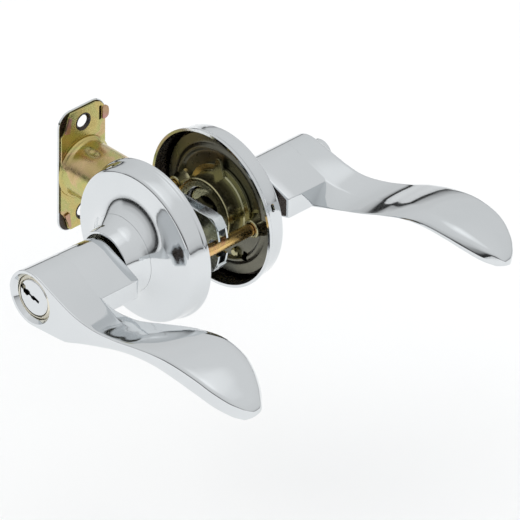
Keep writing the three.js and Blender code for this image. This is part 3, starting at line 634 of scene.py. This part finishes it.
def faceplate():
    x0, x1 = -BACKSET, -BACKSET + FACE_T
    face = add("faceplate", *prism(rounded_rect(25.4, 57.15, 6.35), x0, x1, "x"), "door_set",
               CHROME_SHELL, ("latch_faceplate",))
    cone = [(0, x0 - 0.2), (4.0, x0 - 0.2), (2.75, x0 + 0.8), (2.7, x0 + 1.4), (0, x0 + 1.4)]
    sinks = [shifted(spin(cone, steps=40, along="x"), z) for z in (-HOLE_Z, HOLE_Z)]
    cut(face, [prism(rounded_rect(*OPENING), x0 - 1, x0 + 2, "x")] + sinks)
    round_edges(face, 0.2)
    # A thin near-black sheet on the faceplate's back is painted shade.
    shade_sheet = add("faceplate_painted_shade", *prism(rounded_rect(24.7, 56.5, 6.0), x1 - 0.05, x1 + 0.06, "x"),
                 "door_set", PAINTED_SHADE, (), "zinc_silver")
    holes = [disc(2.8, 32, 0, z) for z in (-HOLE_Z, HOLE_Z)] + [rounded_rect(*OPENING)]
    cut(shade_sheet, [prism(outline, x1 - 1, x1 + 1, "x") for outline in holes])


def backing_plate():
    plate = add("backing", *prism(backing_outline(), BACK_X, BACK_X + FACE_T, "x"), "door_set", YELLOW,
                ("faceplate_backing_plate",), "zinc_yellow")
    holes = [disc(10.9, 48)]
    for z in (-HOLE_Z, HOLE_Z):
        holes.append(disc(3.9, 32, 0, z))
        holes.append(corners(rect(8.9, 10.1, z - 2.9, z + 3.6), 0.4, 3))
    cut(plate, [prism(outline, BACK_X - 1, BACK_X + 2, "x") for outline in holes])
    round_edges(plate, 0.15)


def corner_clips():
    """The plate's folded ears and tabs, and near-black rings round the screw holes as painted shade in
    the holes.
    """
    for i, z in enumerate((-1, 1)):
        ear = corners([(10.4, z * 18.2), (12.6, z * 17.9), (14.0, z * 18.8), (14.3, z * 21.0),
                       (13.9, z * 23.2), (12.6, z * 24.2), (10.4, z * 24.4)], 0.9, 4)
        add(f"clip_ear_{i + 1}", *prism(ear, BACK_X + 0.2, BACK_X + FACE_T + 0.35, "x"), "door_set",
            PINK, (), "zinc_yellow", bevel=0.3, segments=3)
        tab = corners([(-10.6, z * 19.6), (-7.9, z * 19.0), (-6.9, z * 26.2), (-8.0, z * 26.6),
                       (-9.2, z * 23.2)], 0.5, 3)
        add(f"clip_tab_{i + 1}", *prism(tab, BACK_X + 0.3, BACK_X + FACE_T + 0.7, "x"), "door_set",
            PINK, (), "zinc_yellow", bevel=0.3, segments=3)
        # Near-black ring lining the screw hole: painted shade.
        ring = [(2.75, BACK_X - 0.05), (3.95, BACK_X - 0.05), (4.05, BACK_X + FACE_T + 0.12),
                (3.5, BACK_X + FACE_T + 0.12), (2.75, BACK_X + 0.2)]
        add(f"screw_hole_painted_shade_{i + 1}", *shifted(spin(ring, steps=40, along="x"), z * HOLE_Z), "door_set",
            PAINTED_SHADE, (), "zinc_silver")


def latch_tube():
    """Round tube with a rolled flange and one round dent."""
    flange = TUBE_X0 + 2.6
    outer = spline([(13.7, TUBE_X0), (13.8, TUBE_X0 + 0.5), (13.4, TUBE_X0 + 1.1),
                    (12.7, TUBE_X0 + 1.6), (TUBE_R, flange)], 4)
    step = (TUBE_X1 - flange) / 40
    outer += [(TUBE_R, flange + k * step) for k in range(1, 41)]
    verts, faces = spin(outer + [(TUBE_BORE, TUBE_X1), (TUBE_BORE, TUBE_X0)], along="x")
    dent = Vector((-48.8, -3.0, 11.9))
    shaped = []
    for x, y, z in verts:
        r = math.hypot(y, z)
        if r > 12.0:
            d = Vector((x, y, z)) - dent
            k = 1 - 0.55 * math.exp(-(d.x / 2.4) ** 2 - (d.y / 1.5) ** 2 - (d.z / 3.0) ** 2) / r
            y, z = y * k, z * k
        shaped.append((x, y, z))
    add("tube", shaped, faces, "door_set", YELLOW, ("latch_tube",), "zinc_yellow")


def latch_tail():
    """Two plates joined by webs, cleared for the spindle and for both posts."""
    end_r = 25.0
    arc = math.asin(TAIL_HALF / end_r)
    rim = [-arc + k * (arc - 0.143) / 8 for k in range(2, 9)]
    rim = [(end_r * math.cos(a), end_r * math.sin(a)) for a in rim]
    half_turn = [math.radians(a) for a in range(0, 181, 20)]
    notch = [(22.3, -3.55)] + [(22.3 - 3.4 * math.sin(a), -3.4 * math.cos(a)) for a in half_turn]
    notch += [(22.3, 3.55)]
    outline = [(-26.7, -TAIL_NECK), (-26.7, -TAIL_HALF), (18.4, -TAIL_HALF)] + rim + notch
    outline += [(x, -z) for x, z in reversed(rim)]
    outline += [(18.4, TAIL_HALF), (-26.7, TAIL_HALF), (-26.7, TAIL_NECK), (-36.0, TAIL_NECK),
                (-36.0, -TAIL_NECK)]
    for i, (y0, y1) in enumerate(((-2.7, -1.75), (1.75, 2.7))):
        plate = add(f"tail_plate_{i + 1}", *prism(outline, y0, y1), "door_set", SILVER,
                    ("latch_frame",), "zinc_silver")
        holes = [disc(7.9, 48), disc(3.3, 32, -POST_X)]
        cut(plate, [prism(hole, y0 - 1, y1 + 1) for hole in holes])
        round_edges(plate, 0.22)
    for i, z in enumerate((-1, 1)):
        web = [(11.8, z * 11.5), (20.2, z * 11.5), (23.6, z * 7.8), (24.3, z * 8.6), (21.7, z * 12.0),
               (20.6, z * 12.62), (11.8, z * 12.62)]
        add(f"tail_web_{i + 1}", *prism(web, -2.5, 2.5), "door_set", SILVER, (), "zinc_silver",
            bevel=0.2)
        z0, z1 = sorted((z * 11.5, z * 12.62))
        add(f"tail_neck_{i + 1}", *prism(rect(-26.7, -17.4, z0, z1), -2.5, 2.5), "door_set", SILVER, (),
            "zinc_silver", bevel=0.2)


def upright(outline, half):
    """A prism along Z from an outline in (x, y)."""
    verts, faces = prism(outline, -half, half)
    return [(x, z, y) for x, y, z in verts], faces


def bolt():
    """Bevelled bolt with its foot, and the deadlatch plunger beside it."""
    tip = -BACKSET - THROW
    nose = corners([(-49, -6.0), (-49, 2.8), (tip, 2.8), (tip, 1.2), (-BACKSET - 0.6, -6.0)],
                   [0, 0, 0.5, 0.8, 0.6], 5)
    add("bolt", *upright(nose, 8.0), "bolt_set", CHROME, ("latch_bolt",), bevel=0.35, segments=3)
    add("bolt_foot", *upright(rect(-51, -49, 2.1, 6.0), 8.0), "bolt_set", SILVER, (), "zinc_silver",
        bevel=0.2)
    pin = corners([(-58.4, 3.1), (-58.4, 6.0), (tip + 1.6, 6.0), (tip + 0.4, 4.5), (tip + 0.4, 3.1)],
                  [0, 0, 0.6, 0.6, 0.2], 4)
    add("plunger", *upright(pin, 4.5), "plunger_set", CHROME, ("deadlatch_plunger",), bevel=0.3,
        segments=3)


faceplate()
backing_plate()
corner_clips()
latch_tube()
latch_tail()
bolt()

# ---- levers ----
# Stations along the blade: x, then (v, z) of the upper outer, upper inner, lower inner and lower
# outer edge. They are the CAD's own stations.
BLADE = [
    (28, (83.0, 5.45), (66.0, 2.9), (57.6, -3.4), (82.2, -7.0)),
    (38, (83.2, 5.8), (68.4, 2.9), (58.0, -0.2), (82.4, -2.7)),
    (50, (84.0, 8.6), (68.0, 6.9), (56.6, 4.8), (83.0, 2.6)),
    (62, (85.1, 12.9), (65.0, 12.5), (55.3, 10.0), (84.0, 6.8)),
    (74, (85.8, 16.5), (61.3, 17.7), (54.9, 14.2), (84.8, 9.3)),
    (86, (86.2, 18.4), (60.0, 20.9), (55.2, 16.0), (85.2, 9.9)),
    (98, (85.6, 17.9), (60.4, 20.4), (56.5, 15.0), (84.4, 8.8)),
    (106, (84.2, 15.8), (62.2, 18.0), (59.0, 12.4), (82.6, 6.8)),
    (113, (81.0, 12.7), (65.2, 14.6), (62.8, 9.4), (79.2, 4.8)),
    (117, (77.6, 10.6), (67.8, 12.2), (66.4, 7.8), (76.2, 4.5)),
]
TIP = (120.0, 71.2, 7.9)
BLADE_END = BLADE[-1][0]
BLADE_START = 20.0
# hub radius at the end face, at the step and at the root of the blade
HUB_R = {EXT: (12.6, 12.05, 12.05), INT: (10.8, 10.8, 10.8)}


def tangent_z(x, r, cx, cz):
    """Height of a round back of radius r, then of the straight line from it to the corner (cx, cz)."""
    sign = 1 if cz > 0 else -1
    cz = abs(cz)
    far = math.hypot(cx, cz)
    a = math.atan2(cz, cx) + math.acos(r / far)
    tx, tz = r * math.cos(a), r * math.sin(a)
    if x <= tx:
        return sign * math.sqrt(max(r * r - x * x, 0.0))
    return sign * (tz + (cz - tz) * (x - tx) / (cx - tx))


def hub_section(side, x):
    """The four edges at x where the hub turns into the blade."""
    end, step, root = HUB_R[side]
    return [(EXT_FACE, tangent_z(x, end, 20.0, 7.0)), (64.4, tangent_z(x, step, 21.4, 4.0)),
            (57.0, tangent_z(x, root, 21.4, -5.6)), (83.0, tangent_z(x, end, 20.0, -10.0))]


KNOTS = {side: [(x, *hub_section(side, x)) for x in (12, 20)] + BLADE for side in (EXT, INT)}


def blade_section(side, x):
    """The four edges at x, by cubic interpolation between the stations."""
    knots = KNOTS[side]
    i = 0
    while i < len(knots) - 2 and x > knots[i + 1][0]:
        i += 1
    k0, k1, k2, k3 = knots[max(i - 1, 0)], knots[i], knots[i + 1], knots[min(i + 2, len(knots) - 1)]
    h = k2[0] - k1[0]
    t = (x - k1[0]) / h
    out = []
    for c in range(1, 5):
        pair = []
        for j in (0, 1):
            d1 = (k2[c][j] - k0[c][j]) / max(k2[0] - k0[0], 1e-6) * h
            d2 = (k3[c][j] - k1[c][j]) / max(k3[0] - k1[0], 1e-6) * h
            a, b = k1[c][j], k2[c][j]
            pair.append((2 * t ** 3 - 3 * t ** 2 + 1) * a + (t ** 3 - 2 * t ** 2 + t) * d1
                        + (3 * t ** 2 - 2 * t ** 3) * b + (t ** 3 - t ** 2) * d2)
        out.append(tuple(pair))
    return out


def fade(x, x0, x1):
    """Smooth step from 0 at x0 to 1 at x1."""
    t = min(max((x - x0) / (x1 - x0), 0.0), 1.0)
    return t * t * (3 - 2 * t)


def ring_points(x, four, radii):
    """One section of the lever as points (v, z) with rounded corners and crowned faces."""
    (vo, zo), (vi, zi), (wi, yi), (wo, yo) = four
    crown = 0.9 * fade(x, 40, 80)
    sag = 0.8 * fade(x, 30, 60)
    quarters = (0.25, 0.5, 0.75)
    mid_top = [(vo + (vi - vo) * t, zo + (zi - zo) * t + crown * 4 * t * (1 - t)) for t in quarters]
    mid_low = [(wi + (wo - wi) * t, yi + (yo - yi) * t - sag * 4 * t * (1 - t)) for t in quarters]
    pts = [(vo, zo), *mid_top, (vi, zi), (wi, yi), *mid_low, (wo, yo)]
    r = [radii[0], 3, 3, 3, radii[1], radii[2], 3, 3, 3, radii[3]]
    return corners(pts, r, 6)


def edge_radii(side, x, four):
    """Rounding of the four edges: tight at the hub, wider towards the blade's end."""
    face_r = 0.6 if side == EXT else 4.2
    far = fade(x, 44, 78)
    near = fade(x, 12, 40)
    outer = face_r + (1.1 - face_r) * near
    crease = 0.12 + 0.58 * fade(x, 8, 22)
    radii = [outer + 1.3 * far, crease + 5.0 * far, 2 * crease + 2.4 * far, outer + 1.0 * near]
    height = abs(four[0][1] - four[3][1])
    return [min(r, 0.42 * height) for r in radii]


def blade_point(side, x, v, z):
    """A point of the blade in its place on the exterior or interior side."""
    if side == EXT:
        return (x, -v, z)
    pull = min(max((62 - x) / 42, 0.0), 1.0) * min(max((v - 66) / 16, 0.0), 1.0)
    return (x, v - SHIFT - SHORTER * pull, z)


def blade_rings(side):
    back = HUB_R[side][0]
    xs = [-back * math.cos(math.pi * 0.5 * k / 26) for k in range(1, 26)]
    xs += [BLADE_START * k / 20 for k in range(0, 20)]
    xs += [BLADE_START + (BLADE_END - BLADE_START) * k / 90 for k in range(0, 91)]
    rings = []
    for x in xs:
        four = hub_section(side, x) if x < BLADE_START else blade_section(side, x)
        section = ring_points(x, four, edge_radii(side, x, four))
        rings.append([blade_point(side, x, v, z) for v, z in section])
    tip = blade_point(side, *TIP)
    last = rings[-1]
    for u in (0.94, 0.87, 0.78, 0.68, 0.56, 0.42, 0.26, 0.1):
        rings.append([(tip[0] - (tip[0] - x) * u * u, tip[1] + (y - tip[1]) * u,
                       tip[2] + (z - tip[2]) * u) for x, y, z in last])
    return rings


def hub_rings(side, shift):
    """Sections of the hub's root as (v, radius, inset), with a rounded rear edge."""
    slim = HUB_R[side][1] - HUB_R[EXT][1]
    rings = []
    for v, r, inset in ((43.6, 11.4, 1.0), (43.7, 11.4, 0.55), (44.0, 11.4, 0.18), (44.4, 11.42, 0.0),
                        (50.0, 11.65, 0.0), (57.0, 11.9, 0.0), (64.2, 12.03, 0.0), (65.6, 12.03, 0.0)):
        r = r - inset if side == EXT else min(r, 12.05 + slim) - 0.4 * inset
        section = teardrop(r, 21.4 - inset, 4.1 - inset * 0.6, -5.3 + inset * 0.6)
        rings.append([(x, side * (v + shift), z) for x, z in section])
    return rings


def lever(side, word, body, turn):
    """The blade with the hub's end, the hub's root, and a near-black plate on its rear as painted
    shade.
    """
    blade = add(f"{word}_lever_blade", *loft(blade_rings(side)), body, CHROME, (f"{word}_lever",),
                turn=turn, sharp=40)
    shift = 0.0 if side == EXT else -SHIFT
    hub = add(f"{word}_lever_hub", *loft(hub_rings(side, shift)), body, CHROME, (), turn=turn, sharp=28)
    # The thin near-black plate on the hub's door side is painted shade.
    v0, v1 = sorted(side * (v + shift) for v in (43.5, 43.66))
    rear = add(f"{word}_hub_rear_painted_shade", *prism(teardrop(10.6, 20.2, 3.3, -4.5), v0, v1), body, PAINTED_SHADE, (),
               turn=turn)
    cut(rear, [prism(disc(SLEEVE_BORE, 64), v0 - 1, v1 + 1)], turn)
    return blade, hub


def teardrop(r, cx, top, low):
    """Outline of the hub in (x, z): round back, straight flanks and a blunt nose."""
    def arc_end(cz):
        return math.atan2(cz, cx) + math.acos(r / math.hypot(cx, cz))

    a0 = arc_end(top)
    a1 = arc_end(-low)
    steps = 64
    angles = [a0 + (2 * math.pi - a1 - a0) * k / steps for k in range(steps + 1)]
    back = [(r * math.cos(a), r * math.sin(a)) for a in angles]
    nose = corners([back[-1], (cx, low), (cx, top), back[0]], 0.7, 6, False)[1:-1]
    return back + nose


ext_blade, ext_hub = lever(EXT, "exterior", "outer_lever_set", DROOP)
int_blade, int_hub = lever(INT, "interior", "inner_lever_set", 0.0)

def bores():
    """Key cylinder in the outer lever, turn button in the inner one, drive sleeves in both."""
    well = [(0, 50.0), (9.85, 50.0), (9.85, 81.2), (11.05, 83.05), (11.4, 83.6), (0, 83.6)]
    cut(ext_blade, [spin(well, EXT)], DROOP, 30)
    sleeve_well = [(0, 40), (SLEEVE_BORE, 40), (SLEEVE_BORE, 70), (0, 70)]
    cut(ext_hub, [spin(sleeve_well, EXT, 96)], DROOP, 28)
    button_well = [(0, 60), (6.4, 60), (6.4, INT_FACE - 0.4), (6.8, INT_FACE + 0.3),
                   (0, INT_FACE + 0.3)]
    cut(int_blade, [spin(button_well, INT, 96)], sharp=40)
    stepped_well = [(0, 36), (SLEEVE_BORE, 36), (SLEEVE_BORE, 58), (6.4, 58), (6.4, 70), (0, 70)]
    cut(int_hub, [spin(stepped_well, INT, 96)], sharp=28)


bores()


# ---- key cylinder ----
def key_cylinder():
    """Brass shell with its pin chamber, and the plug with the keyway."""
    turn = DROOP + KEYWAY_TILT
    mouth = corners([(9.7, 60.5), (9.7, 80.7), (9.2, 81.1), (8.5, 81.75), (8.3, 81.5), (8.3, 79.0),
                     (6.5, 79.0)], 0.15, 3, False)
    shell = [(6.5, 55.2), (7.9, 55.2), (7.9, 60.3), (9.7, 60.5)] + mouth[1:]
    chamber = prism(rect(7.0, 12.8, -4.0, 4.0), -76.7, -60.3)
    add("cylinder_shell", *joined(spin(shell, EXT, 96), chamber), "outer_lever_set", BRASS,
        ("cylinder_body",), "brass", turn=turn)
    rim = corners([(6.3, 79.3), (8.0, 79.3), (8.0, 81.3), (7.6, 81.65), (0, 81.65)], 0.3, 4, False)
    plug = [(0, 55.4), (6.3, 55.4), (6.3, 79.3)] + rim[1:]
    obj = add("plug", *spin(plug, EXT, 96), "plug_set", CHROME, ("key_plug",), turn=turn)
    way = corners([(-9.0, -0.9), (-6.3, -0.9), (-5.5, -2.0), (-3.5, -2.0), (-2.7, -0.7), (-1.6, -0.7),
                   (-1.0, -1.2), (0.4, -1.2), (0.9, -0.5), (3.2, -0.5), (3.2, 0.9), (-0.4, 0.9),
                   (-1.0, 0.3), (-2.2, 0.3), (-2.9, 1.1), (-4.3, 1.1), (-5.0, 0.5), (-5.8, 1.9),
                   (-9.0, 2.1)], 0.15, 2)
    cut(obj, [prism(way, -84, -58)], turn, 30)


key_cylinder()


# ---- turn button ----
def button():
    """Round knob with a screwdriver slot."""
    knob = corners([(0, 70.5), (6.0, 70.5), (6.0, 79.0), (5.4, 79.6), (0, 79.6)], 0.5, 5, False)
    obj = add("button", *spin(knob, INT, 96), "button_set", CHROME, ("turn_button",))
    slot = corners(rect(-5.0, 5.0, -0.8, 0.8), 0.5, 3)
    cut(obj, [prism(slot, 77.8, 81)])
    round_edges(obj, 0.15)


button()


# ---- drive sleeves ----
def sleeve(side, word, body, far, turn):
    """Tube from the door to v = far, with a flat web at its inner end."""
    tube = corners([(8.2, 14.6), (9.8, 14.6), (9.8, far), (8.2, far)], 0.3, 3)
    web = [(6.2, 14.7), (8.6, 14.7), (8.6, 16.2), (6.2, 16.2)]
    add(f"{word}_sleeve", *joined(spin(tube, side, 96), spin(web, side, 96)), body, OLIVE_LIGHT,
        (f"{word}_drive_sleeve",), "zinc_yellow", turn=turn)


sleeve(EXT, "exterior", "outer_lever_set", 58.0, DROOP)
sleeve(INT, "interior", "inner_lever_set", 54.0, 0.0)


# ---- carried-over CAD nodes get their finishes ----
for entry in frame["record"]["subparts"]:
    node = NODES[entry["node"]]
    mat = SLOT_MATERIAL[entry["material_slot"]]
    if node.material_slots:
        node.material_slots[0].material = mat
    else:
        node.data.materials.append(mat)
